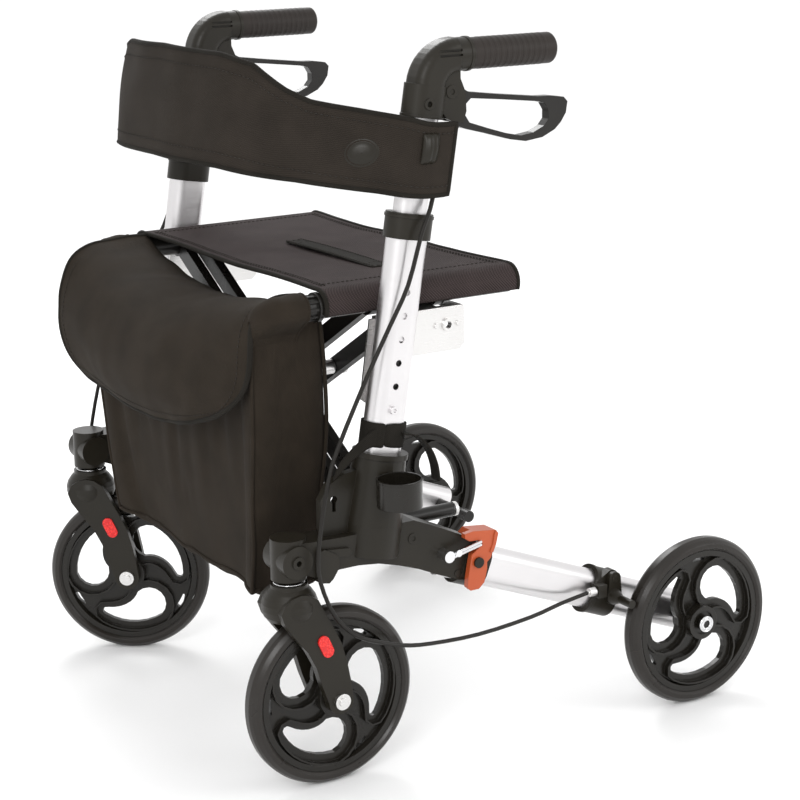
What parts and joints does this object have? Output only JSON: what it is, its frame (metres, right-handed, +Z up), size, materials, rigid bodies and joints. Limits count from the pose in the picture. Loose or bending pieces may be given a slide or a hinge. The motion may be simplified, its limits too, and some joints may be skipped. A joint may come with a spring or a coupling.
{
  "type": "rollator walker",
  "caption": "Folding rollator walker with an X brace under a mesh seat, height-adjustable brake handles, a backrest band, a front bag, swivel casters and rear wheels with brakes.",
  "frame": {"origin": "on the ground under the middle of the walker", "axes": "+Z up, -Y the direction of travel, +X towards the left hand of the person walking behind it"},
  "size_m": [0.6617, 0.667, 0.7882],
  "materials": {
    "black_plastic": "satin, finely grained",
    "rim_plastic": "semi-gloss moulded",
    "aluminium": "satin anodised",
    "bare_steel": "zinc plated",
    "chrome": "polished",
    "black_metal": "black powder coat",
    "webbing": "ribbed webbing",
    "cable_sheath": "smooth sheath",
    "orange_plastic": "satin",
    "grip_rubber": "soft, ribbed",
    "red_reflector": "prismatic",
    "tyre": "matt solid rubber",
    "mesh_fabric": "open weave",
    "nylon_fabric": "plain weave"
  },
  "bodies": {
    "left_frame": {"left_housing": "black_plastic", "left_post": "aluminium", "left_collar": "black_plastic", "left_rear_tube": "aluminium", "left_seat_rest": "bare_steel", "left_brace_rod": "bare_steel", "left_brake_bracket": "black_plastic", "left_brake_barrel": "bare_steel", "left_strap": "webbing", "left_cable": "cable_sheath", "left_rear_axle": "black_metal", "cane_cup": "rim_plastic"},
    "left_handle": {"left_handle_tube": "aluminium", "left_elbow": "black_plastic", "left_grip": "grip_rubber", "backrest": "nylon_fabric"},
    "left_brake_lever": {"left_lever": "black_metal"},
    "left_brake": {"left_brake_arm": "black_plastic"},
    "left_caster": {"left_fork": "black_plastic", "left_reflectors": "red_reflector", "left_front_axle": "bare_steel"},
    "left_front_wheel": {"left_front_rim": "rim_plastic", "left_front_tyre": "tyre"},
    "left_rear_wheel": {"left_rear_rim": "rim_plastic", "left_rear_tyre": "tyre"},
    "left_latch": {"left_latch": "orange_plastic"},
    "left_latch_lever": {"left_latch_pin": "chrome"},
    "left_seat": {"left_seat_tube": "black_metal", "seat_mesh": "mesh_fabric", "bag": "nylon_fabric"},
    "right_frame": {"right_housing": "black_plastic", "right_post": "aluminium", "right_collar": "black_plastic", "right_rear_tube": "aluminium", "right_seat_rest": "bare_steel", "right_brace_rod": "bare_steel", "right_brake_bracket": "black_plastic", "right_brake_barrel": "bare_steel", "right_strap": "webbing", "right_cable": "cable_sheath", "right_rear_axle": "black_metal"},
    "right_handle": {"right_handle_tube": "aluminium", "right_elbow": "black_plastic", "right_grip": "grip_rubber"},
    "right_brake_lever": {"right_lever": "black_metal"},
    "right_brake": {"right_brake_arm": "black_plastic"},
    "right_caster": {"right_fork": "black_plastic", "right_reflectors": "red_reflector", "right_front_axle": "bare_steel"},
    "right_front_wheel": {"right_front_rim": "rim_plastic", "right_front_tyre": "tyre"},
    "right_rear_wheel": {"right_rear_rim": "rim_plastic", "right_rear_tyre": "tyre"},
    "right_latch": {"right_latch": "orange_plastic"},
    "right_latch_lever": {"right_latch_pin": "chrome"},
    "right_seat": {"right_seat_tube": "black_metal"},
    "brace_a": {"brace_a": "black_metal"},
    "brace_b": {"brace_b": "black_metal", "brace_pin": "bare_steel"}
  },
  "joints": [
    {"name": "fold", "type": "hinge", "parent": "left_frame", "child": "brace_a", "pos_m": [0.213, -0.106, 0.262], "axis": [0, 1, 0], "range_deg": [0, 45], "deforming": ["seat_mesh", "bag", "backrest"]},
    {"name": "brace_cross", "type": "hinge", "parent": "brace_a", "child": "brace_b", "pos_m": [0, -0.106, 0.388], "axis": [0, 1, 0], "range_deg": [-90, 0]},
    {"name": "right_frame_fold", "type": "hinge", "parent": "brace_b", "child": "right_frame", "pos_m": [-0.213, -0.106, 0.262], "axis": [0, 1, 0], "range_deg": [0, 45]},
    {"name": "right_seat_turn", "type": "hinge", "parent": "brace_a", "child": "right_seat", "pos_m": [-0.213, -0.106, 0.514], "axis": [0, 1, 0], "range_deg": [-45, 0]},
    {"name": "left_seat_turn", "type": "hinge", "parent": "brace_b", "child": "left_seat", "pos_m": [0.213, -0.106, 0.514], "axis": [0, 1, 0], "range_deg": [0, 45]},
    {"name": "left_height", "type": "slide", "parent": "left_frame", "child": "left_handle", "axis": [0, 0.1616, 0.9869], "range_m": [0, 0.125], "deforming": ["left_cable"]},
    {"name": "left_lever_squeeze", "type": "hinge", "parent": "left_handle", "child": "left_brake_lever", "pos_m": [0.255, -0.071, 0.733], "axis": [1, 0, 0], "range_deg": [0, 9], "stiffness_Nm_per_rad": 0.4},
    {"name": "left_brake_press", "type": "hinge", "parent": "left_frame", "child": "left_brake", "pos_m": [0.255, 0.138, 0.163], "axis": [1, 0, 0], "range_deg": [0, 9]},
    {"name": "left_caster_swivel", "type": "hinge", "parent": "left_frame", "child": "left_caster", "pos_m": [0.255, -0.274, 0.24], "axis": [0, 0, 1], "continuous": true},
    {"name": "left_front_wheel_spin", "type": "hinge", "parent": "left_caster", "child": "left_front_wheel", "pos_m": [0.255, -0.229, 0.1], "axis": [1, 0, 0], "continuous": true},
    {"name": "left_rear_wheel_spin", "type": "hinge", "parent": "left_frame", "child": "left_rear_wheel", "pos_m": [0.304, 0.238, 0.1], "axis": [1, 0, 0], "continuous": true},
    {"name": "left_latch_open", "type": "hinge", "parent": "left_frame", "child": "left_latch", "pos_m": [0.2805, -0.054, 0.222], "axis": [-1, 0, 0], "range_deg": [0, 40]},
    {"name": "left_latch_lever_turn", "type": "hinge", "parent": "left_frame", "child": "left_latch_lever", "pos_m": [0.284, -0.094, 0.237], "axis": [1, 0, 0], "range_deg": [0, 60]},
    {"name": "right_height", "type": "slide", "parent": "right_frame", "child": "right_handle", "axis": [0, 0.1616, 0.9869], "range_m": [0, 0.125], "deforming": ["right_cable"]},
    {"name": "right_lever_squeeze", "type": "hinge", "parent": "right_handle", "child": "right_brake_lever", "pos_m": [-0.255, -0.071, 0.733], "axis": [1, 0, 0], "range_deg": [0, 9], "stiffness_Nm_per_rad": 0.4},
    {"name": "right_brake_press", "type": "hinge", "parent": "right_frame", "child": "right_brake", "pos_m": [-0.255, 0.138, 0.163], "axis": [1, 0, 0], "range_deg": [0, 9]},
    {"name": "right_caster_swivel", "type": "hinge", "parent": "right_frame", "child": "right_caster", "pos_m": [-0.255, -0.274, 0.24], "axis": [0, 0, 1], "continuous": true},
    {"name": "right_front_wheel_spin", "type": "hinge", "parent": "right_caster", "child": "right_front_wheel", "pos_m": [-0.22919, -0.23714, 0.1], "axis": [0.8192, -0.5736, 0], "continuous": true},
    {"name": "right_rear_wheel_spin", "type": "hinge", "parent": "right_frame", "child": "right_rear_wheel", "pos_m": [-0.304, 0.238, 0.1], "axis": [1, 0, 0], "continuous": true},
    {"name": "right_latch_open", "type": "hinge", "parent": "right_frame", "child": "right_latch", "pos_m": [-0.2805, -0.054, 0.222], "axis": [-1, 0, 0], "range_deg": [0, 40]},
    {"name": "right_latch_lever_turn", "type": "hinge", "parent": "right_frame", "child": "right_latch_lever", "pos_m": [-0.284, -0.094, 0.237], "axis": [1, 0, 0], "range_deg": [0, 60]}
  ],
  "couplings": [
    {"joint": "brace_cross", "follows": "fold", "ratio": -2},
    {"joint": "right_frame_fold", "follows": "fold", "ratio": 1},
    {"joint": "right_seat_turn", "follows": "fold", "ratio": -1},
    {"joint": "left_seat_turn", "follows": "fold", "ratio": 1},
    {"joint": "left_brake_press", "follows": "left_lever_squeeze", "ratio": 1},
    {"joint": "right_brake_press", "follows": "right_lever_squeeze", "ratio": 1},
    {"joint": "right_height", "follows": "left_height", "ratio": 1}
  ]
}
